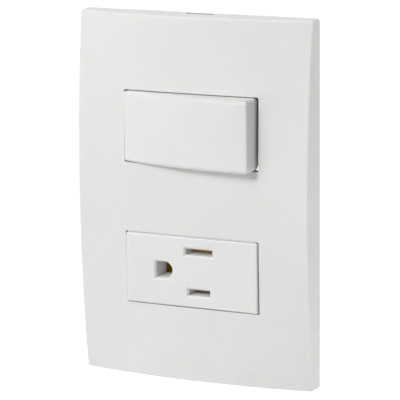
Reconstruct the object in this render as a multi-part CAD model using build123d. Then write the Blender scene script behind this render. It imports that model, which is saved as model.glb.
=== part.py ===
from build123d import *
from math import cos, radians, sin
import os

os.makedirs("parts", exist_ok=True)

# Wall switch and socket combination: a one-gang wall plate with three module places.
# The upper place holds a rocker switch, the lower one a grounded socket, the middle one is blank.
# Every piece is drawn lying on its back: X right, Y up the wall, Z out of the wall into the room.
# It is stood up when it is written: the wall plane becomes XZ, the room is on the -Y side, Z is up.
# The origin is the centre of the two box screws, in the wall plane. Sizes are in millimetres.

# Blade openings of the socket: their distances are those of the grounded 15 A pattern
blade_spacing = 12.7
ground_offset = 11.9
blade_centre_x = 2.56
neutral_slot = 9.0
line_slot = 7.2
slot_height = 2.0
ground_width = 5.5
ground_height = 5.1
lead_in = 0.6
sleeve_wall = 1.2
blade_sleeve = 7.8
ground_sleeve = 7.5

# Modules: 44.2 by 21.6, and their places up the wall
module_pitch = 22.1
module_width = 44.2
blade_margin = 4.45  # from a blade's centre to the housing's side
module_height = blade_spacing + 2 * blade_margin
module_depth = 20.0  # behind the wall plane
module_wall = 1.5
module_floor = 1.6
floor_radius = 0.6
partition = 1.0
hook_reach = 0.7
hook_lip = 0.5
hook_ramp = 3.0
hook_height = 8.0
ear_reach = 2.6
ear_height = 17.2
ear_thickness = 1.4
switch_y = module_pitch
socket_y = -module_pitch
socket_x = -0.1  # the socket sits a little to the left in its clearance

# Faces of the modules, 44.4 by 22.0, and the windows that show them
face_side_lap = 0.1
face_top_lap = 0.2
face_width = module_width + 2 * face_side_lap
face_height = module_height + 2 * face_top_lap
face_radius = 0.6
face_wall = 1.6
face_web = 1.0
window_gap = 0.3
window_radius = 0.5
window_width = face_width + 2 * window_gap
window_height = face_height + 2 * window_gap

# Support frame: 70.4 by 106.4, with the box screws 83.5 apart
frame_gap = 0.2  # between the frame's opening and each module
opening_width = module_width + 2 * frame_gap
opening_height = 2 * module_pitch + module_height + 2 * frame_gap
screw_margin = 8.65  # from the opening to a box screw
frame_end = 11.45  # from a box screw to the frame's end
frame_side = 12.9  # from the opening to the frame's side
box_pitch = opening_height + 2 * screw_margin
frame_width = opening_width + 2 * frame_side
frame_height = box_pitch + 2 * frame_end
frame_thickness = 2.4
frame_radius = 3.0
rail_width = 3.0
rail_depth = 3.0
rail_lip = 1.6
tray_radius = 3.0
rim_width = 1.4
rim_height = 0.8
round_hole_margin = 3.25  # from the tray to the holes for a round box
round_hole_radius = 1.8

# Box screws: the neck under the head is thinner than the thread and ends at the wall plane
screw_radius = 1.75
screw_neck_radius = 1.4
screw_length = 25.0
screw_head_radius = 3.4
screw_head = 2.0
screw_slot = 7.6
driver_slot = 0.9

# Cover plate: 78.0 by 114.0
plate_overhang = 3.8  # beyond the frame, all round
plate_width = frame_width + 2 * plate_overhang
plate_height = frame_height + 2 * plate_overhang
plate_depth = 8.6  # from the wall to the front, along both centre lines
plate_corner_depth = 4.5  # at the four drooping corners
plate_wall = 2.0
plate_draft = 2.3  # lean of the side walls, degrees
plate_corner_radius = 1.0
plate_edge_radius = 0.5
plate_rib = 1.0
rib_window_gap = 0.5
rib_end_gap = 3.8
rib_side = 2.0
rib_over = 3.0
pry_x = 0.6
pry_width = 9.0
pry_depth = 2.8
tongue_depth = 0.9
claw_x = 18.0
claw_inset = 4.8  # from the frame's end to the claws
claw_width = 6.0
claw_thickness = 1.6
claw_nose = 0.8
claw_foot = 0.4  # from the wall to the claw's tip
claw_gap = 0.3
claw_y = frame_height / 2 - claw_inset

# Terminals: screw heads over the housing's floor, then clamp plates, then the straps
sheet = 0.8
contact_gap = 0.3
terminal_half = 2.9
terminal_end_gap = 0.9
terminal_side_gap = 0.5
screw_shank = 1.5
screw_tip = 1.0
thread_gap = 0.05
terminal_head = 2.6
terminal_head_height = 2.0
terminal_slot = 0.8
terminal_slot_depth = 0.6
head_chamfer = 0.3
clamp_thickness = 1.0
clamp_lip = 0.6
clamp_room = 1.9
driver_hole = 2.2
wire_hole = 1.6
wire_side = 5.2  # from a socket terminal to its wire
wire_pair = 6.0  # from a switch terminal to its wires
inner_x = module_width / 2 - module_wall
inner_y = module_height / 2 - module_wall
floor_top = -module_depth + module_floor
head_bottom = floor_top + contact_gap
head_top = head_bottom + terminal_head_height
strap_bottom = head_top + clamp_thickness + clamp_lip + clamp_room
strap_level = strap_bottom + sheet
terminal_x = inner_x - terminal_end_gap - terminal_half
terminal_y = inner_y - terminal_side_gap - terminal_half

# Socket contacts and how far the socket's face stands out
face_proud = 0.3
face_depth = plate_depth + face_proud
contact_width = 6.7
blade_grip = 0.55
blade_mouth = 1.25
ground_grip = 2.2
ground_mouth = 2.9
grip_depth = 6.0

# Contact lever, its saddle and its rivets
lever_rise = 4.6  # from the straps to the lever's pivot
lever_level = strap_level + lever_rise
lever_sheet = 1.0
lever_tilt = 5.04
contact_x = 7.6
lever_end = 2.0
lever_left = 7.5
lever_half = 3.4
lever_radius = 0.8
lever_gap = 0.3
trunnion_radius = 0.75
trunnion_root = 0.5
trunnion_gap = 0.08
saddle_sheet = 0.9
saddle_half = 2.4
rivet_radius = 1.7
rivet_height = 0.9
rivet_stem = 0.85
rivet_head = 1.25
rivet_head_height = 0.3
contact_clearance = 0.25

# Rocker, 44.0 by 22.0, about its pivot
rocker_end_gap = 0.2
rocker_length = face_width - 2 * rocker_end_gap
rocker_height = face_height
rocker_crown = 5.7  # over the pivot
rocker_end = 3.8
rocker_taper = 0.5
rocker_wall = 1.3
rocker_face = 1.5
rocker_edge = 1.2  # rounding along the long edges and at the corners
rocker_bevel = 0.2  # depth of the narrow bevel along the front edge of each end
rocker_rib = 1.0
rocker_rib_drop = 2.4
rocker_tilt = 7.2  # each way from the middle
skirt_gap = 0.5
pivot_sink = 0.6  # behind the plate's front
pivot_level = plate_depth - pivot_sink
pivot_radius = 1.2
pivot_gap = 0.05
pivot_depth = 0.8
post_thickness = 1.8
post_half = 2.6
post_gap = 0.35
post_foot = 1.4
post_foot_height = 0.8
rocker_reach = (rocker_length / 2 - rocker_taper) * sin(radians(rocker_tilt))
rocker_skirt = (pivot_level - ear_thickness - skirt_gap - rocker_reach) / cos(radians(rocker_tilt))

# Plunger and its spring, in the rocker's boss
plunger_radius = 1.7
plunger_gap = 0.15
plunger_top = 4.0
plunger_nose = 1.5
tip_gap = 0.4
boss_wall = 1.2
boss_foot = 5.4
boss_swing = 2.2
spigot_radius = 0.8
spigot_height = 2.0
spring_room = 6.7
spring_wire = 0.4
spring_turns = 7
plunger_tip = pivot_level - lever_level - lever_sheet / 2 - tip_gap

front = (0, 0, 1)


def block(x, y, z):
    """Box between a low and a high value along each axis."""
    low = Vector(x[0], y[0], z[0])
    high = Vector(x[1], y[1], z[1])
    size = high - low
    return Pos(*((low + high) / 2)) * Box(size.X, size.Y, size.Z)


def rod(x, y, z, radius):
    """Round bar along Z at (x, y), between a low and a high z."""
    return Pos(x, y, (z[0] + z[1]) / 2) * Cylinder(radius, z[1] - z[0])


def pin_y(x, y, z, radius):
    """Round bar along Y at (x, z), between a low and a high y."""
    middle = Pos(x, (y[0] + y[1]) / 2, z)
    return middle * Rot(90, 0, 0) * Cylinder(radius, y[1] - y[0])


def span(side, inner, outer):
    """Range from inner to outer on the given side of zero, lowest first."""
    return (inner, outer) if side > 0 else (-outer, -inner)


def write(name, piece):
    """Stand the piece up on the wall and write it."""
    export_step(Rot(90, 0, 0) * piece, f"parts/{name}.step")


def pillow_space(top, drop):
    """Space in front of a pillow surface: level along both centre lines, lower by drop at the corners."""
    reach = 1.1
    x_step = reach * plate_width / 2
    y_step = reach * plate_height / 2
    rows = []
    for i in range(3):
        row = []
        for j in range(3):
            height = top - drop * reach**4 * (-1) ** (i + j)
            row.append(Vector(x_step * (i - 1), y_step * (j - 1), height))
        rows.append(row)
    return extrude(Face.make_bezier_surface(rows), amount=2 * plate_depth, dir=front)


def pillow_block(inset, sink):
    """Drafted block under the pillow surface, smaller by inset all round and lower by sink."""
    outline = RectangleRounded(plate_width - 2 * inset, plate_height - 2 * inset, plate_corner_radius)
    solid = extrude(outline, plate_depth + 1, taper=plate_draft)
    return solid - pillow_space(plate_depth - sink, plate_depth - plate_corner_depth)


def snap_claws():
    """Four claws that hang from the plate and latch under the support frame."""
    inner = claw_y - claw_thickness / 2
    outer = claw_y + claw_thickness / 2
    latch = frame_thickness / 2 - claw_gap / 2
    points = [
        (inner, claw_foot),
        (outer, claw_foot),
        (outer + claw_nose, claw_foot + claw_nose / 2),
        (outer + claw_nose, latch),
        (outer, latch),
        (outer, plate_depth - plate_wall),
        (inner, plate_depth - plate_wall),
    ]
    outline = Plane.YZ * make_face(Polyline(*points, close=True))
    upper = extrude(outline, claw_width / 2, both=True)
    return [Pos(x, 0, 0) * claw for x in (-claw_x, claw_x) for claw in (upper, mirror(upper, Plane.XZ))]


def cover_plate():
    shell = pillow_block(0, 0)
    face = max(shell.faces().filter_by(GeomType.BEZIER), key=lambda f: f.area)
    shell = fillet(face.outer_wire().edges(), plate_edge_radius)
    shell -= pillow_block(plate_wall, plate_wall)
    window = extrude(RectangleRounded(window_width, window_height, window_radius), plate_depth + 1)
    under = plate_depth - plate_wall
    rib_foot = frame_thickness + 2 * claw_gap
    rib_y = module_pitch - window_height / 2 - rib_window_gap - plate_rib
    rib_x = window_width / 2 + rail_width + rib_side
    half_x = frame_width / 2 - rim_width - rib_end_gap
    half_y = opening_height / 2 + rib_over
    for side in (-1, 1):
        across = span(side, rib_y, rib_y + plate_rib)
        upright = span(side, rib_x - plate_rib / 2, rib_x + plate_rib / 2)
        shell += block((-half_x, half_x), across, (rib_foot, under + plate_rib / 2))
        shell += block(upright, (-half_y, half_y), (rib_foot, under))
        shell -= Pos(0, side * module_pitch, 0) * window
    shell += snap_claws()
    top = plate_height / 2
    pry = block((-pry_width / 2, pry_width / 2), (top - 2 * plate_wall, top + 1), (-1, pry_depth))
    return shell - Pos(pry_x, 0, 0) * pry


def support_frame():
    outline = RectangleRounded(frame_width, frame_height, frame_radius)
    inside = offset(outline, -rim_width)
    frame = extrude(outline, frame_thickness)
    frame += Pos(0, 0, frame_thickness) * extrude(outline - inside, rim_height)
    # Tray for the modules, with rails under their ears
    seat_width = opening_width + 2 * rail_width
    tray_width = seat_width + 2 * rail_lip
    tray_height = opening_height + 2 * rail_lip
    frame -= extrude(Rectangle(seat_width, opening_height), frame_thickness + 1)
    frame += extrude(RectangleRounded(tray_width, tray_height, tray_radius), -rail_depth)
    opening = extrude(Rectangle(opening_width, opening_height), rail_depth + frame_thickness + 2)
    frame -= Pos(0, 0, -rail_depth - 1) * opening
    # Bosses that keep the modules' ears at their pitch
    boss_height = module_pitch - ear_height - 2 * frame_gap
    boss = Pos(0, 0, ear_thickness / 2) * Box(rail_width, boss_height, ear_thickness)
    slot = extrude(SlotOverall(screw_slot, 2 * screw_radius + frame_gap), frame_thickness + 2)
    round_hole_x = tray_width / 2 + round_hole_margin
    claw_hole = Box(claw_width + 2 * claw_gap, claw_thickness + 2 * claw_gap, 3 * frame_thickness)
    shelf = Box(claw_width + 2 * claw_gap, claw_nose + claw_gap, frame_thickness)
    for side in (-1, 1):
        for place in (-1, 1):
            frame += Pos(side * (opening_width + rail_width) / 2, place * module_pitch / 2, 0) * boss
            frame -= Pos(place * claw_x, side * claw_y, 0) * claw_hole
            shelf_y = claw_y + (claw_thickness + claw_nose + claw_gap) / 2
            frame -= Pos(place * claw_x, side * shelf_y, 0) * shelf
        frame -= Pos(0, side * box_pitch / 2, -1) * slot
        frame -= rod(side * round_hole_x, 0, (-1, frame_thickness + 1), round_hole_radius)
    # Tongue that stands behind the pry notch
    tongue_half = pry_width / 2 - claw_gap
    tongue_top = plate_height / 2 - claw_gap / 2
    tongue = block((-tongue_half, tongue_half), (frame_height / 2 - rim_width, tongue_top), (0, tongue_depth))
    return frame + Pos(pry_x, 0, 0) * tongue


def box_screw(side):
    top = frame_thickness + screw_head
    head = rod(0, 0, (frame_thickness, top), screw_head_radius)
    head = fillet(head.edges().group_by(Axis.Z)[-1], screw_head / 2)
    thread = rod(0, 0, (frame_thickness - screw_length, 0), screw_radius)
    thread = chamfer(thread.edges().group_by(Axis.Z)[0], screw_radius / 3)
    screw = head + thread + rod(0, 0, (0, frame_thickness), screw_neck_radius)
    screw -= Pos(0, 0, top) * Box(2 * screw_head_radius, driver_slot, screw_head / 2)
    screw -= Pos(0, 0, top) * Box(driver_slot, screw_head_radius, screw_head)
    return Pos(0, side * box_pitch / 2, 0) * screw


def module_hooks():
    """Snap hooks on both ends of a housing, latched behind the frame's rails."""
    root = module_width / 2 - module_wall / 2
    tip = module_width / 2 + frame_gap + hook_reach
    top = -rail_depth - frame_gap / 2
    points = [(root, top), (tip, top), (tip, top - hook_lip), (root, top - hook_lip - hook_ramp)]
    hook = extrude(Plane.XZ * make_face(Polyline(*points, close=True)), hook_height / 2, both=True)
    return [hook, mirror(hook, Plane.YZ)]


def module_housing(driver_places, wire_places, walls):
    """Open box behind the frame, with its partitions and the holes in its floor."""
    half_x = module_width / 2
    half_y = module_height / 2
    body = block((-half_x, half_x), (-half_y, half_y), (-module_depth, 0))
    body = fillet(body.edges().group_by(Axis.Z)[0], floor_radius)
    body -= block((-inner_x, inner_x), (-inner_y, inner_y), (floor_top, 1))
    for x, y in walls:
        body += block(x, y, (floor_top - module_floor / 2, strap_bottom - contact_gap))
    for x, y in driver_places:
        body -= rod(x, y, (-module_depth - 1, floor_top + 1), driver_hole)
    for x, y in wire_places:
        body -= rod(x, y, (-module_depth - 1, floor_top + 1), wire_hole)
    return body + module_hooks()


def module_ears():
    """Ears of a module that rest on the frame's rails."""
    y = (-ear_height / 2, ear_height / 2)
    outer = module_width / 2 + ear_reach
    return [block(span(side, inner_x, outer), y, (0, ear_thickness)) for side in (-1, 1)]


def neutral_outline(grow):
    return Rectangle(neutral_slot + 2 * grow, slot_height + 2 * grow)


def line_outline(grow):
    return Rectangle(line_slot + 2 * grow, slot_height + 2 * grow)


def ground_outline(grow):
    """The ground opening: flat on the left, round towards the blades."""
    radius = ground_height / 2 + grow
    left = -ground_width / 2 - grow
    centre = ground_width / 2 + grow - radius
    straight = Polyline((centre, radius), (left, radius), (left, -radius), (centre, -radius))
    return make_face(straight + RadiusArc((centre, -radius), (centre, radius), -radius))


ground_x = blade_centre_x - ground_offset
openings = [
    (blade_centre_x, blade_spacing / 2, neutral_outline, blade_sleeve),
    (blade_centre_x, -blade_spacing / 2, line_outline, blade_sleeve),
    (ground_x, 0, ground_outline, ground_sleeve),
]


def socket_face():
    hollow = Rectangle(face_width - 2 * face_wall, face_height - 2 * face_wall)
    body = extrude(RectangleRounded(face_width, face_height, window_radius), face_depth)
    body = fillet(body.edges().group_by(Axis.Z)[-1], face_radius)
    body -= extrude(hollow, face_depth - face_wall)
    inside = face_depth - face_wall / 2
    for x, y, outline, depth in openings:
        body += Pos(x, y, face_depth - depth) * extrude(outline(sleeve_wall), depth - face_wall / 2)
    # Web along the middle that stiffens the face between the sleeves
    web_half = (face_width - face_wall) / 2
    body += block((-web_half, web_half), (-face_web / 2, face_web / 2), (inside - blade_sleeve / 2, inside))
    for x, y, outline, depth in openings:
        body -= Pos(x, y, face_depth - depth - 1) * extrude(outline(0), depth + 2)
        body -= loft([Pos(x, y, face_depth - lead_in) * outline(0), Pos(x, y, face_depth) * outline(lead_in)])
    body += module_ears()
    return Pos(socket_x, socket_y, 0) * body


socket_terminals = {
    "neutral": (terminal_x, terminal_y),
    "line": (terminal_x, -terminal_y),
    "ground": (-terminal_x, 0),
}


def socket_housing():
    places = list(socket_terminals.values())
    wire_x = terminal_x - wire_side
    wires = [(wire_x, terminal_y), (wire_x, -terminal_y), (-wire_x, 0)]
    between = wire_x - wire_hole - partition
    walls = [
        ((between, inner_x), (-partition / 2, partition / 2)),
        ((-between, -between + partition), (-inner_y, inner_y)),
    ]
    return Pos(socket_x, socket_y, 0) * module_housing(places, wires, walls)


def grip(mouth, pinch_gap, top, width):
    """Two springy leaves and their base, folded from one strip; the blade comes in between them."""
    pinch = top - grip_depth
    heel = pinch_gap + sheet / 2
    right = [
        (heel + sheet, strap_bottom),
        (pinch_gap + sheet, pinch),
        (mouth + sheet, top),
        (mouth, top),
        (pinch_gap, pinch),
        (heel, strap_level),
    ]
    left = [(-y, z) for y, z in reversed(right)]
    strip = Plane.YZ * make_face(Polyline(*right, *left, close=True))
    return extrude(strip, width / 2, both=True)


def strap(x, y, hole_x, hole_y):
    """Flat strap at the common level, with the terminal screw's tapped hole."""
    flat = block(x, y, (strap_bottom, strap_level))
    return flat - rod(hole_x, hole_y, (strap_bottom - 1, strap_level + 1), screw_shank + thread_gap)


def blade_contact(side):
    """Neutral contact for side 1, line contact for side -1."""
    top = face_depth - blade_sleeve - contact_gap
    leaves = grip(blade_mouth, blade_grip, top, contact_width)
    leaves = Pos(blade_centre_x, side * blade_spacing / 2, 0) * leaves
    x = (blade_centre_x, terminal_x + terminal_half)
    y = span(side, terminal_y - terminal_half, terminal_y + terminal_half)
    return Pos(socket_x, socket_y, 0) * (leaves + strap(x, y, terminal_x, side * terminal_y))


def ground_contact():
    top = face_depth - ground_sleeve - contact_gap
    leaves = Pos(ground_x, 0, 0) * grip(ground_mouth, ground_grip, top, ground_width)
    x = (-terminal_x - terminal_half, ground_x)
    y = (-terminal_half, terminal_half)
    return Pos(socket_x, socket_y, 0) * (leaves + strap(x, y, -terminal_x, 0))


def terminal_screw(x, y):
    head = rod(x, y, (head_bottom, head_top), terminal_head)
    head = chamfer(head.edges().group_by(Axis.Z)[0], head_chamfer)
    screw = head + rod(x, y, (head_top, strap_level + screw_tip), screw_shank)
    slot = Box(2 * terminal_head, terminal_slot, 2 * terminal_slot_depth)
    return screw - Pos(x, y, head_bottom) * slot


def clamp_plate(x, y):
    """Square washer on the screw head; its turned-up sides hold the wire."""
    half = terminal_half - contact_gap
    top = head_top + clamp_thickness
    plate = block((-half, half), (-half, half), (head_top, top))
    for side in (-1, 1):
        plate += block(span(side, half - sheet, half), (-half, half), (head_top, top + clamp_lip))
    plate -= rod(0, 0, (head_top - 1, top + 1), screw_shank + thread_gap)
    return Pos(x, y, 0) * plate


def switch_bezel():
    """Cover of the switch mechanism: ears for the frame and two posts that carry the rocker's pins."""
    half_x = module_width / 2
    half_y = module_height / 2
    body = block((-half_x, half_x), (-half_y, half_y), (0, ear_thickness))
    body += module_ears()
    window = plunger_radius + plunger_gap + boss_wall + boss_swing
    body -= block((-window, window), (-window, window), (-1, ear_thickness + 1))
    rocker_inside = rocker_height / 2 - rocker_wall
    outer = rocker_inside - post_gap
    inner = outer - post_thickness
    foot = post_half + post_foot
    root = ear_thickness / 2
    for side in (-1, 1):
        y = span(side, inner, outer)
        body += block((-post_half, post_half), y, (root, pivot_level))
        body += pin_y(0, y, pivot_level, post_half)
        body += block((-foot, foot), y, (root, ear_thickness + post_foot_height))
        pin = span(side, inner, rocker_inside + pivot_depth - pivot_gap)
        body += pin_y(0, pin, pivot_level, pivot_radius)
    return Pos(0, switch_y, 0) * body


def rocker_profile(length, crown, end, foot):
    """Side view of the rocker about its pivot: curved face, slightly tapered ends."""
    half = length / 2
    face = ThreePointArc((-half, end), (0, crown), (half, end))
    sides = Polyline((half, end), (half - rocker_taper, -foot), (-half + rocker_taper, -foot), (-half, end))
    return Plane.XZ * make_face(face + sides)


def placed_rocker(piece):
    """Put a piece that is drawn about the pivot into the switch, pressed on its left end."""
    return Pos(0, switch_y, pivot_level) * Rot(0, -rocker_tilt, 0) * piece


def rocker():
    outside = rocker_profile(rocker_length, rocker_crown, rocker_end, rocker_skirt)
    body = extrude(outside, rocker_height / 2, both=True)
    long_edges = body.edges().filter_by(GeomType.CIRCLE)
    corners = [e for e in body.edges().filter_by(GeomType.LINE) if e.bounding_box().size.Z > rocker_end]
    body = fillet(long_edges + corners, rocker_edge)
    for side in (-1, 1):
        end_edge = Pos(side * rocker_length / 2, 0, rocker_end) * Rot(0, side * 45, 0)
        bevel_y = (-rocker_height, rocker_height)
        body -= end_edge * block((-rocker_edge, rocker_edge), bevel_y, (-rocker_bevel, rocker_edge))
    inside = rocker_profile(
        rocker_length - 2 * rocker_wall,
        rocker_crown - rocker_face,
        rocker_end - rocker_face,
        rocker_skirt + 1,
    )
    wall = rocker_height / 2 - rocker_wall
    body -= extrude(inside, wall, both=True)
    # Boss for the plunger, dimples for the pivot pins and cross ribs under the face
    tube = plunger_radius + plunger_gap
    body += rod(0, 0, (-boss_foot, rocker_crown - rocker_face / 2), tube + boss_wall)
    body -= rod(0, 0, (-boss_foot - 1, plunger_top), tube)
    rib_x = rocker_length / 4
    rib_top = rocker_end
    for side in (-1, 1):
        body -= pin_y(0, span(side, wall - 1, wall + pivot_depth), 0, pivot_radius + pivot_gap)
        x = span(side, rib_x - rocker_rib / 2, rib_x + rocker_rib / 2)
        body += block(x, (-wall, wall), (rib_top - rocker_face / 2 - rocker_rib_drop, rib_top))
    return placed_rocker(body)


def plunger():
    shoulder = plunger_top - spring_room
    body = rod(0, 0, (-plunger_tip, shoulder), plunger_radius)
    body = fillet(body.edges().group_by(Axis.Z)[0], plunger_nose)
    body += rod(0, 0, (shoulder, shoulder + spigot_height), spigot_radius)
    return placed_rocker(body)


def plunger_spring():
    height = spring_room - 2 * spring_wire
    path = Helix(pitch=height / spring_turns, height=height, radius=plunger_radius - spring_wire)
    section = Plane(path @ 0, z_dir=path % 0) * Circle(spring_wire / 2)
    coil = sweep(section, path=path, is_frenet=True)
    return placed_rocker(Pos(0, 0, plunger_top - spring_room + spring_wire) * coil)


def placed_lever(piece):
    """Put a piece that is drawn about the trunnions into the switch, in its rest state."""
    return Pos(0, switch_y, lever_level) * Rot(0, lever_tilt, 0) * piece


def contact_lever():
    half = lever_sheet / 2
    body = block((-lever_left, contact_x + lever_end), (-lever_half, lever_half), (-half, half))
    body = fillet(body.edges().filter_by(Axis.Z), lever_radius)
    trunnion_end = lever_half + lever_gap + saddle_sheet
    for side in (-1, 1):
        body += pin_y(0, span(side, lever_half - trunnion_root, trunnion_end), 0, trunnion_radius)
    body -= rod(contact_x, 0, (-half - 1, half + 1), rivet_stem)
    return placed_lever(body)


def moving_contact():
    half = lever_sheet / 2
    body = rod(contact_x, 0, (-half - rivet_height, -half), rivet_radius)
    body = fillet(body.edges().group_by(Axis.Z)[0], rivet_height / 3)
    body += rod(contact_x, 0, (-half, half), rivet_stem)
    body += rod(contact_x, 0, (half, half + rivet_head_height), rivet_head)
    return placed_lever(body)


def fixed_contact():
    """Rivet of the load terminal; it ends just short of the moving contact at rest."""
    lean = radians(lever_tilt)
    drop = (contact_x + rivet_radius) * sin(lean) + (lever_sheet / 2 + rivet_height) * cos(lean)
    top = lever_level - drop - contact_clearance
    body = rod(contact_x, 0, (strap_level, top), rivet_radius)
    body = fillet(body.edges().group_by(Axis.Z)[-1], rivet_height / 4)
    body += rod(contact_x, 0, (strap_bottom, strap_level), rivet_stem)
    return Pos(0, switch_y, 0) * body


def common_terminal():
    """Strap of the common pole with the saddle that carries the lever's trunnions."""
    ear_inner = lever_half + lever_gap
    ear_outer = ear_inner + saddle_sheet
    notch = trunnion_radius + trunnion_gap
    saddle_x = (-saddle_half, saddle_half)
    body = strap((-terminal_x - terminal_half, saddle_half), (-terminal_half, terminal_half), -terminal_x, 0)
    body += block(saddle_x, (-ear_outer, ear_outer), (strap_bottom, strap_level))
    for side in (-1, 1):
        body += block(saddle_x, span(side, ear_inner, ear_outer), (strap_bottom, lever_level + notch))
    body -= pin_y(0, (-inner_y, inner_y), lever_level, notch)
    body -= block((-notch, notch), (-inner_y, inner_y), (lever_level, lever_level + 2 * notch))
    return Pos(0, switch_y, 0) * body


def load_terminal():
    x = (contact_x - terminal_half, terminal_x + terminal_half)
    flat = strap(x, (-terminal_half, terminal_half), terminal_x, 0)
    flat -= rod(contact_x, 0, (strap_bottom - 1, strap_level + 1), rivet_stem)
    return Pos(0, switch_y, 0) * flat


def switch_housing():
    places = [(-terminal_x, 0), (terminal_x, 0)]
    wires = [(x, y) for x, _ in places for y in (-wire_pair, wire_pair)]
    outer = terminal_x - terminal_half - contact_gap
    walls = [(span(side, outer - partition, outer), (-inner_y, inner_y)) for side in (-1, 1)]
    return Pos(0, switch_y, 0) * module_housing(places, wires, walls)


write("cover_plate", cover_plate())
write("support_frame", support_frame())
write("upper_box_screw", box_screw(1))
write("lower_box_screw", box_screw(-1))

write("switch_housing", switch_housing())
write("switch_bezel", switch_bezel())
write("rocker", rocker())
write("plunger", plunger())
write("plunger_spring", plunger_spring())
write("contact_lever", contact_lever())
write("moving_contact", moving_contact())
write("fixed_contact", fixed_contact())
write("common_terminal", common_terminal())
write("load_terminal", load_terminal())
for name, x in (("common", -terminal_x), ("load", terminal_x)):
    write(f"{name}_terminal_screw", Pos(0, switch_y, 0) * terminal_screw(x, 0))
    write(f"{name}_clamp_plate", Pos(0, switch_y, 0) * clamp_plate(x, 0))

write("socket_housing", socket_housing())
write("socket_face", socket_face())
write("neutral_contact", blade_contact(1))
write("line_contact", blade_contact(-1))
write("ground_contact", ground_contact())
for name, (x, y) in socket_terminals.items():
    write(f"{name}_terminal_screw", Pos(socket_x, socket_y, 0) * terminal_screw(x, y))
    write(f"{name}_clamp_plate", Pos(socket_x, socket_y, 0) * clamp_plate(x, y))
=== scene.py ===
"""Looks of the wall switch and socket combination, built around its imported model."""

import math

import bmesh
import bpy
from mathutils import Matrix, Vector


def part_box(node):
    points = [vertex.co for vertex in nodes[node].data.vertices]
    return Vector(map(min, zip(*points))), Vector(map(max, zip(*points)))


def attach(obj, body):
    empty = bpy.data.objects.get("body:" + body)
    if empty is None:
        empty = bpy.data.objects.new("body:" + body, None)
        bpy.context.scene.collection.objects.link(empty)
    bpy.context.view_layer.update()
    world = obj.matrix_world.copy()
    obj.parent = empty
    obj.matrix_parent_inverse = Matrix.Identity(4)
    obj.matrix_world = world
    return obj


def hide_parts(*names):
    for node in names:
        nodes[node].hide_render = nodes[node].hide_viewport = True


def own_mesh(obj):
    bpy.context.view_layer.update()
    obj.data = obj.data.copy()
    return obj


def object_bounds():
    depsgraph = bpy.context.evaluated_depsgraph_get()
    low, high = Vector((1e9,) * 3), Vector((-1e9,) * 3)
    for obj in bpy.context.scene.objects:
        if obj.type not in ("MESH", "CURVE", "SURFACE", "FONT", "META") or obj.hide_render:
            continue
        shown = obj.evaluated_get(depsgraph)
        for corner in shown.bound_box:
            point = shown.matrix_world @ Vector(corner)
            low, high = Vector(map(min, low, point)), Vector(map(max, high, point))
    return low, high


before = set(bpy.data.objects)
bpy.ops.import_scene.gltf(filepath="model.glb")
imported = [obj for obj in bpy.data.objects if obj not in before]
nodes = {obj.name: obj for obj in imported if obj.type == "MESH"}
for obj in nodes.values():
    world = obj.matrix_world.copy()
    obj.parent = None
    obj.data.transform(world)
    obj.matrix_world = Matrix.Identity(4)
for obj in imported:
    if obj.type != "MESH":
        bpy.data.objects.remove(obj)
cad_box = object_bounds()
MM = 0.001
WHITE = (1, 1, 1, 1)

# Camera: fitted to the plate's edges and windows in the photograph, in millimetres and degrees
CAMERA_AZIMUTH = 25.4575
CAMERA_ELEVATION = 11.6237
CAMERA_ROLL = -0.6006
CAMERA_DISTANCE = 752.49
CAMERA_TARGET = (-1.008, 0.0, -1.098)
CAMERA_CLIP = (10.0, 20000.0)
FOCAL_PIXELS = 2441.88
FRAME_PIXELS = 400
SENSOR = 36.0

# Floor: its drop below the part, its size and its patches of tone in millimetres.
# It glows only to rays that show the background: less below the part, fully far from it.
FLOOR_DROP = 260.0
FLOOR_SIZE = 12000.0
FLOOR_PATCH = 60.0
FLOOR_TONES = ((0.80, 0.80, 0.80), (0.82, 0.82, 0.82))
FLOOR_ROUGHNESS = 0.9
FLOOR_GLOW = (0.55, 1.0)
FLOOR_GLOW_REACH = (0.25, 0.9)  # metres

# Strength of the world's light on the part, from everywhere
WORLD_LIGHT = 0.005

# Disk lamps: direction from the part, distance and width in metres, power in watts
LAMPS = {
    "key": ((-0.132, -0.878, 0.461), 2.2, 0.5, 15.7),
    "key_high": ((-0.132, -0.76, 0.64), 2.2, 0.5, 7.0),
    "key_left": ((-0.40, -0.80, 0.45), 1.6, 0.53, 3.0),
    "left": ((-0.75, -0.62, -0.05), 1.1, 0.8, 1.38),
    "top_front": ((-0.15, -0.35, 0.92), 1.5, 1.0, 4.8),
    "top_back": ((0.0, 0.5, 0.87), 1.0, 0.6, 2.7),
    "right_back": ((0.8, 0.6, 0.1), 1.0, 0.6, 3.0),
    "left_back": ((-0.8, 0.6, 0.1), 1.0, 0.6, 1.6),
    "low_right": ((0.30, 0.06, -0.20), 0.36, 0.2, 0.345),
}

# Most of a noise texture's values lie between these two
NOISE_SPAN = (0.3, 0.7)

# Plastics: colour, roughness, height of the grain and depth of the light, in millimetres
PLASTICS = {
    "plate_plastic": ((0.86, 0.86, 0.85), 0.50, 0.004, 0.6),
    "rocker_plastic": ((0.86, 0.86, 0.85), 0.45, 0.003, 0.3),
    "face_plastic": ((0.875, 0.875, 0.865), 0.47, 0.003, 0.6),
    "frame_plastic": ((0.48, 0.49, 0.49), 0.52, 0.006, 0.0),
    "housing_plastic": ((0.42, 0.43, 0.44), 0.50, 0.006, 0.0),
    "plunger_plastic": ((0.03, 0.03, 0.032), 0.42, 0.004, 0.0),
}

# Patches of tone and gloss on every plastic and its grain: sizes in millimetres, and changes
TONE_PATCH = 14.0
TONE_CHANGE = 0.012
GLOSS_PATCH = 2.5
GLOSS_CHANGE = 0.04
GRAIN_SIZE = 0.18
PALEST = 0.95
PLASTIC_IOR = 1.48
PLASTIC_SPECULAR = 0.35
SCATTER = (1.0, 0.97, 0.9)  # how far red, green and blue go in, as shares of the depth

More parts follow.
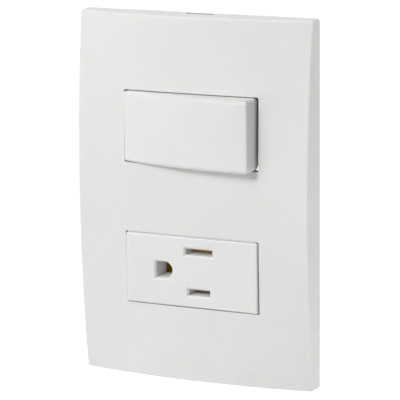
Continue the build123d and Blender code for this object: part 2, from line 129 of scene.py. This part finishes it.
# Metals: colour, roughness, squeeze of the streaks along each axis, and metallic share
METALS = {
    "contact_brass": ((0.70, 0.43, 0.07), 0.55, (1, 1, 12), 0.3),
    "contact_silver": ((0.80, 0.80, 0.78), 0.30, (1, 1, 12), 1.0),
    "screw_steel": ((0.46, 0.46, 0.45), 0.42, (6, 1, 6), 1.0),
    "spring_steel": ((0.50, 0.50, 0.50), 0.30, (1, 1, 12), 1.0),
}

# Stains, gloss streaks and fine streaks on every metal: sizes in millimetres, and changes
STAIN_SIZE = 1.8
STAIN_SHADE = 0.82
STREAK_SIZE = 0.9
STREAK_CHANGE = (-0.08, 0.10)
FINE_STREAK = 0.25
FINE_STREAK_HEIGHT = 0.003

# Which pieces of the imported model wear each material
WEARERS = {
    "plate_plastic": ["cover_plate"],
    "rocker_plastic": ["rocker"],
    "face_plastic": ["socket_face"],
    "frame_plastic": ["support_frame"],
    "housing_plastic": ["switch_housing", "socket_housing", "switch_bezel"],
    "plunger_plastic": ["plunger"],
    "contact_brass": [
        "neutral_contact",
        "line_contact",
        "ground_contact",
        "common_terminal",
        "load_terminal",
        "contact_lever",
    ],
    "contact_silver": ["moving_contact", "fixed_contact"],
    "screw_steel": ["upper_box_screw", "lower_box_screw"],
    "spring_steel": ["plunger_spring"],
}
for terminal in ("common", "load", "neutral", "line", "ground"):
    WEARERS["screw_steel"] += [f"{terminal}_terminal_screw", f"{terminal}_clamp_plate"]

# Threads of the screws into the wall box, in millimetres
THREAD_PITCH = 0.79
THREAD_ROOT = 1.4
THREAD_ROWS = 8  # per turn
THREAD_SIDES = 24
FLANK_SLOPE = 1.3  # the flank is cut off at both ends, so crests and roots are flat
FLANK_DROP = 0.15

# Tolerance for where a point lies, which is also how far joined pieces overlap, in millimetres
TOUCH = 0.01
SAME_POINT = 0.001  # points this near each other become one

# Side web of the ground contact, in millimetres
GROUND_WIDTH = 5.5  # of the contact's leaves
WEB_SHEET = 0.4
WEB_HALF = 2.9  # half of its height
WEB_LENGTH = 7.0

# Turned-up fronts of the lower leaves, at the end of the blades' ways in, in millimetres:
# height of the slot's middle, its length, and how far the leaf reaches into it
LEAF_FRONTS = {
    "neutral_contact": (-15.75, 9.0, 2.2),
    "line_contact": (-28.45, 7.2, 1.4),
}
SLOT_CENTRE = 2.46  # across the part
SLOT_HALF = 1.0  # half of a slot's height
LEAF_RISE = 0.55
LEAF_LEAN = 0.1

# Lips in the gap around the socket face, in millimetres: a drop is behind the face's front
FACE_DEPTH = 2.0  # of the face, in front of the module's ears
FACE_GAP = 0.3
LEFT_LIP_DROP = 0.28
TOP_LIP_DROP = 0.42
LIP_LENGTH = 1.5
LIP_CORNER = 0.8


def show(name, data):
    """A new object in the scene."""
    thing = bpy.data.objects.new(name, data)
    bpy.context.scene.collection.objects.link(thing)
    return thing


def place_camera():
    """The photograph's camera, turned about the part and rolled a little."""
    azimuth = math.radians(CAMERA_AZIMUTH)
    elevation = math.radians(CAMERA_ELEVATION)
    roll = math.radians(CAMERA_ROLL)
    level = math.cos(elevation)
    back = Vector((math.sin(azimuth) * level, -math.cos(azimuth) * level, math.sin(elevation)))
    right = Vector((math.cos(azimuth), math.sin(azimuth), 0.0))
    up = back.cross(right)
    rolled_right = right * math.cos(roll) + up * math.sin(roll)
    rolled_up = up * math.cos(roll) - right * math.sin(roll)
    data = bpy.data.cameras.new("camera")
    data.sensor_width = SENSOR
    data.lens = SENSOR * FOCAL_PIXELS / FRAME_PIXELS
    data.clip_start = CAMERA_CLIP[0] * MM
    data.clip_end = CAMERA_CLIP[1] * MM
    camera = show("camera", data)
    place = (Vector(CAMERA_TARGET) + back * CAMERA_DISTANCE) * MM
    turn = Matrix((rolled_right, rolled_up, back)).transposed().to_4x4()
    camera.matrix_world = Matrix.Translation(place) @ turn
    bpy.context.scene.camera = camera


class Material:
    """A node material with helpers for the procedural patterns used on this part."""

    def __init__(self, name):
        self.data = bpy.data.materials.new(name)
        self.data.use_nodes = True
        self.tree = self.data.node_tree
        self.shader = self.tree.nodes["Principled BSDF"]
        self.place = self.add("ShaderNodeTexCoord").outputs["Object"]

    def add(self, kind, **settings):
        """A new node; settings are its own properties."""
        node = self.tree.nodes.new(kind)
        for name, value in settings.items():
            setattr(node, name, value)
        return node

    def link(self, source, target):
        """Runs one socket into another."""
        self.tree.links.new(source, target)

    def set(self, name, value):
        """Sets one of the shader's values, the same all over."""
        self.shader.inputs[name].default_value = value

    def scaled(self, scale):
        """Object coordinates, scaled by one factor per axis."""
        mapping = self.add("ShaderNodeMapping")
        self.link(self.place, mapping.inputs["Vector"])
        mapping.inputs["Scale"].default_value = scale
        return mapping.outputs["Vector"]

    def noise(self, size, detail=2.0, stretch=(1, 1, 1)):
        """Noise whose patches are about the given size, in millimetres."""
        node = self.add("ShaderNodeTexNoise")
        node.inputs["Scale"].default_value = 1.0 / (size * MM)
        node.inputs["Detail"].default_value = detail
        self.link(self.scaled(stretch), node.inputs["Vector"])
        return node.outputs["Fac"]

    def ramp(self, source, low, high):
        """Colour that goes from low to high with the noise."""
        node = self.add("ShaderNodeValToRGB")
        for stop, position, colour in zip(node.color_ramp.elements, NOISE_SPAN, (low, high)):
            stop.position = position
            stop.color = (*colour, 1)
        self.link(source, node.inputs["Fac"])
        return node.outputs["Color"]

    def range(self, source, low, high, span=NOISE_SPAN):
        """Value that goes from low to high as the source goes over the span."""
        node = self.add("ShaderNodeMapRange")
        node.inputs["From Min"].default_value = span[0]
        node.inputs["From Max"].default_value = span[1]
        node.inputs["To Min"].default_value = low
        node.inputs["To Max"].default_value = high
        self.link(source, node.inputs["Value"])
        return node.outputs["Result"]

    def bump(self, source, height):
        """Bump of the given height, in millimetres."""
        node = self.add("ShaderNodeBump")
        node.inputs["Strength"].default_value = 1.0
        node.inputs["Distance"].default_value = height * MM
        self.link(source, node.inputs["Height"])
        self.link(node.outputs["Normal"], self.shader.inputs["Normal"])

    def colour(self, socket):
        """Runs a socket into the shader's colour."""
        self.link(socket, self.shader.inputs["Base Color"])

    def roughness(self, socket):
        """Runs a socket into the shader's roughness."""
        self.link(socket, self.shader.inputs["Roughness"])


def moulded_plastic(name, colour, rough, grain, depth):
    """Satin moulded plastic: a fine eroded skin, with slow changes of tone and gloss."""
    m = Material(name)
    dark = tuple(c * (1 - TONE_CHANGE) for c in colour)
    light = tuple(min(c * (1 + TONE_CHANGE), PALEST) for c in colour)
    m.colour(m.ramp(m.noise(TONE_PATCH, detail=3.0), dark, light))
    gloss = m.noise(GLOSS_PATCH, detail=4.0)
    m.roughness(m.range(gloss, rough - GLOSS_CHANGE, rough + GLOSS_CHANGE))
    m.bump(m.noise(GRAIN_SIZE, detail=3.0), grain)
    m.set("IOR", PLASTIC_IOR)
    m.set("Specular IOR Level", PLASTIC_SPECULAR)
    if depth:
        m.set("Subsurface Weight", 1.0)
        m.set("Subsurface Radius", SCATTER)
        m.set("Subsurface Scale", depth * MM)
    return m.data


def sheet_metal(name, colour, rough, streak, metal):
    """Rolled metal: fine streaks along the sheet and faint stains."""
    m = Material(name)
    dark = tuple(c * STAIN_SHADE for c in colour)
    m.colour(m.ramp(m.noise(STAIN_SIZE, detail=4.0), dark, colour))
    gloss = m.noise(STREAK_SIZE, detail=5.0, stretch=streak)
    m.roughness(m.range(gloss, rough + STREAK_CHANGE[0], rough + STREAK_CHANGE[1]))
    m.bump(m.noise(FINE_STREAK, detail=3.0, stretch=streak), FINE_STREAK_HEIGHT)
    m.set("Metallic", metal)
    return m.data


def make_materials():
    """The materials, each under its own name."""
    made = {}
    for name, look in PLASTICS.items():
        made[name] = moulded_plastic(name, *look)
    for name, look in METALS.items():
        made[name] = sheet_metal(name, *look)
    return made


def dress_nodes(materials):
    """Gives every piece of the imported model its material."""
    for look, names in WEARERS.items():
        for name in names:
            mesh = nodes[name].data
            mesh.materials.clear()
            mesh.materials.append(materials[look])


def add_piece(name, mesh, material, body="base"):
    """A new visible piece that moves with one body of the model."""
    mesh.materials.append(material)
    piece = show(name, mesh)
    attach(piece, body)
    return piece


def mesh_of(name, shape):
    """The edited shape as a mesh."""
    mesh = bpy.data.meshes.new(name)
    shape.to_mesh(mesh)
    shape.free()
    return mesh


def weld(shape):
    """Joins the points that lie on each other."""
    bmesh.ops.remove_doubles(shape, verts=shape.verts, dist=SAME_POINT * MM)


def box_mesh(name, low, high):
    """Closed box between two corners, in metres."""
    shape = bmesh.new()
    centre = (Vector(low) + Vector(high)) / 2
    size = Vector(high) - Vector(low)
    place = Matrix.Translation(centre) @ Matrix.Diagonal((*size, 1))
    bmesh.ops.create_cube(shape, size=1.0, matrix=place)
    return mesh_of(name, shape)


def thread_radius(along, turn, crest, length, tip):
    """Radius of the threaded rod at a place along it and an angle in turns; the last part tapers."""
    wave = (along / THREAD_PITCH - turn) % 1
    rise = min(max(FLANK_SLOPE * (1 - abs(2 * wave - 1)) - FLANK_DROP, 0), 1)
    taper = crest - tip - (length - along)
    height = (crest - THREAD_ROOT) * rise
    return min(THREAD_ROOT + height, crest - max(taper, 0))


def add_thread(shape, axis_z, crest, length, tip):
    """Closed threaded rod along Y from the wall plane; crest, length and tip in millimetres."""
    rows = round(length / THREAD_PITCH * THREAD_ROWS)
    rings = []
    for row in range(rows + 1):
        along = length * row / rows
        ring = []
        for side in range(THREAD_SIDES):
            turn = side / THREAD_SIDES
            radius = thread_radius(along, turn, crest, length, tip) * MM
            angle = turn * math.tau
            point = (radius * math.cos(angle), along * MM, axis_z + radius * math.sin(angle))
            ring.append(shape.verts.new(point))
        rings.append(ring)
    for near, far in zip(rings, rings[1:]):
        for side in range(THREAD_SIDES):
            after = (side + 1) % THREAD_SIDES
            shape.faces.new((near[side], far[side], far[after], near[after]))
    shape.faces.new(rings[0])
    shape.faces.new(reversed(rings[-1]))


def thread_screw(name, steel):
    """The box screw again: its head and neck as they are, and a real thread behind the wall plane."""
    low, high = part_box(name)
    axis_z = (low.z + high.z) / 2
    shape = bmesh.new()
    shape.from_mesh(nodes[name].data)
    far = {v: Vector((v.co.x, 0, v.co.z - axis_z)).length / MM for v in shape.verts}
    crest = max(far[v] for v in shape.verts if v.co.y > -TOUCH * MM)
    tip = max(far[v] for v in shape.verts if v.co.y > high.y - TOUCH * MM)
    rod = [v for v in shape.verts if v.co.y > TOUCH * MM]
    rod += [v for v in shape.verts if abs(v.co.y) <= TOUCH * MM and far[v] > THREAD_ROOT + TOUCH]
    bmesh.ops.delete(shape, geom=rod, context="VERTS")
    weld(shape)
    bmesh.ops.holes_fill(shape, edges=[e for e in shape.edges if e.is_boundary])
    add_thread(shape, axis_z, crest, high.y / MM, tip)
    bmesh.ops.recalc_face_normals(shape, faces=shape.faces)
    piece = add_piece(f"{name}_threaded", mesh_of(f"{name}_threaded", shape), steel)
    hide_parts(name)


def press_spring(metal):
    """The plunger's spring again, with its points welded, moving with the rocker."""
    shape = bmesh.new()
    shape.from_mesh(nodes["plunger_spring"].data)
    weld(shape)
    mesh = mesh_of("plunger_spring_coil", shape)
    spring = add_piece("plunger_spring_coil", mesh, metal, body="rocker")
    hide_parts("plunger_spring")
    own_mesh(spring)


def add_box(name, corners, material):
    """A plain box on the fixed body."""
    add_piece(name, box_mesh(name, *corners), material)


def add_contact_web(brass):
    """Bent-up side of the ground contact, that joins its two leaves beside the pin's way in."""
    low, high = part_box("ground_contact")
    side = high.x - GROUND_WIDTH * MM
    middle = (low.z + high.z) / 2
    corners = [
        (side - WEB_SHEET * MM, low.y, middle - WEB_HALF * MM),
        (side + TOUCH * MM, low.y + WEB_LENGTH * MM, middle + WEB_HALF * MM),
    ]
    add_box("ground_contact_web", corners, brass)


def add_leaf_fronts(brass):
    """Fronts of the leaves that lie on the lower walls of the blade slots and face the room."""
    for contact, (middle, length, reach) in LEAF_FRONTS.items():
        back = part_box(contact)[0].y + TOUCH * MM
        front = back - reach * MM
        bottom = (middle - SLOT_HALF) * MM
        top = bottom + LEAF_RISE * MM
        left = (SLOT_CENTRE - length / 2) * MM
        right = (SLOT_CENTRE + length / 2) * MM
        mesh = box_mesh(f"{contact}_front", (left, front, bottom), (right, back, top))
        for vertex in mesh.vertices:
            if vertex.co.y < (front + back) / 2 and vertex.co.z > (bottom + top) / 2:
                vertex.co.y += LEAF_LEAN * MM
        add_piece(f"{contact}_front", mesh, brass)


def add_face_lips(plastic):
    """Lips that centre the socket face in its window, on its left and along its top."""
    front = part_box("socket_face")[0].y
    face = [v.co for v in nodes["socket_face"].data.vertices if v.co.y < front + FACE_DEPTH * MM]
    low = Vector(min(point[axis] for point in face) for axis in range(3))
    high = Vector(max(point[axis] for point in face) for axis in range(3))
    corner = LIP_CORNER * MM
    gap = FACE_GAP * MM
    left = [
        (low.x - gap, low.y + LEFT_LIP_DROP * MM, low.z + corner),
        (low.x + TOUCH * MM, low.y + (LEFT_LIP_DROP + LIP_LENGTH) * MM, high.z - corner),
    ]
    top = [
        (low.x + corner, low.y + TOP_LIP_DROP * MM, high.z - TOUCH * MM),
        (high.x - corner, low.y + (TOP_LIP_DROP + LIP_LENGTH) * MM, high.z + gap),
    ]
    add_box("face_left_lip", left, plastic)
    add_box("face_top_lip", top, plastic)


def add_pieces(materials):
    """The forms that are too fine for the solids, and a welded copy of the spring."""
    thread_screw("upper_box_screw", materials["screw_steel"])
    thread_screw("lower_box_screw", materials["screw_steel"])
    press_spring(materials["spring_steel"])
    add_contact_web(materials["contact_brass"])
    add_leaf_fronts(materials["contact_brass"])
    add_face_lips(materials["face_plastic"])


def white_rays(tree):
    """One for rays that show the background: from the camera, mirrored or through glass."""
    rays = tree.nodes.new("ShaderNodeLightPath")
    total = rays.outputs["Is Camera Ray"]
    for kind in ("Is Glossy Ray", "Is Transmission Ray"):
        most = tree.nodes.new("ShaderNodeMath")
        most.operation = "MAXIMUM"
        tree.links.new(total, most.inputs[0])
        tree.links.new(rays.outputs[kind], most.inputs[1])
        total = most.outputs[0]
    return total


def place_floor():
    """Pale floor that keeps the part's shadow and glows white to the camera away from it."""
    half = FLOOR_SIZE * MM / 2
    corners = [(-half, -half, 0), (half, -half, 0), (half, half, 0), (-half, half, 0)]
    mesh = bpy.data.meshes.new("floor")
    mesh.from_pydata(corners, [], [(0, 1, 2, 3)])
    floor = show("floor", mesh)
    floor.location.z = cad_box[0].z - FLOOR_DROP * MM
    m = Material("floor_white")
    m.colour(m.ramp(m.noise(FLOOR_PATCH), *FLOOR_TONES))
    m.set("Roughness", FLOOR_ROUGHNESS)
    m.set("Emission Color", WHITE)
    far = m.add("ShaderNodeVectorMath", operation="LENGTH")
    m.link(m.place, far.inputs[0])
    glow = m.range(far.outputs["Value"], *FLOOR_GLOW, span=FLOOR_GLOW_REACH)
    shown = m.add("ShaderNodeMath", operation="MULTIPLY")
    m.link(glow, shown.inputs[0])
    m.link(white_rays(m.tree), shown.inputs[1])
    m.link(shown.outputs[0], m.shader.inputs["Emission Strength"])
    mesh.materials.append(m.data)


def place_lamp(name, direction, distance, width, power):
    """Disk lamp that faces the origin."""
    data = bpy.data.lights.new(name, "AREA")
    data.shape = "DISK"
    data.size = width
    data.energy = power
    lamp = show(name, data)
    towards = Vector(direction).normalized()
    turn = towards.to_track_quat("Z", "Y").to_matrix().to_4x4()
    lamp.matrix_world = Matrix.Translation(towards * distance) @ turn


def place_world():
    """White to the camera; a little light on the object from everywhere."""
    world = bpy.data.worlds.new("studio")
    world.use_nodes = True
    tree = world.node_tree
    shade = tree.nodes["Background"]
    shade.inputs["Color"].default_value = WHITE
    shade.inputs["Strength"].default_value = WORLD_LIGHT
    white = tree.nodes.new("ShaderNodeBackground")
    white.inputs["Color"].default_value = WHITE
    mix = tree.nodes.new("ShaderNodeMixShader")
    tree.links.new(white_rays(tree), mix.inputs["Fac"])
    tree.links.new(shade.outputs[0], mix.inputs[1])
    tree.links.new(white.outputs[0], mix.inputs[2])
    tree.links.new(mix.outputs[0], tree.nodes["World Output"].inputs["Surface"])
    bpy.context.scene.world = world


place_camera()
materials = make_materials()
dress_nodes(materials)
add_pieces(materials)
place_floor()
for name, (direction, distance, width, power) in LAMPS.items():
    place_lamp(name, direction, distance, width, power)
place_world()
bpy.context.scene.view_settings.view_transform = "Standard"
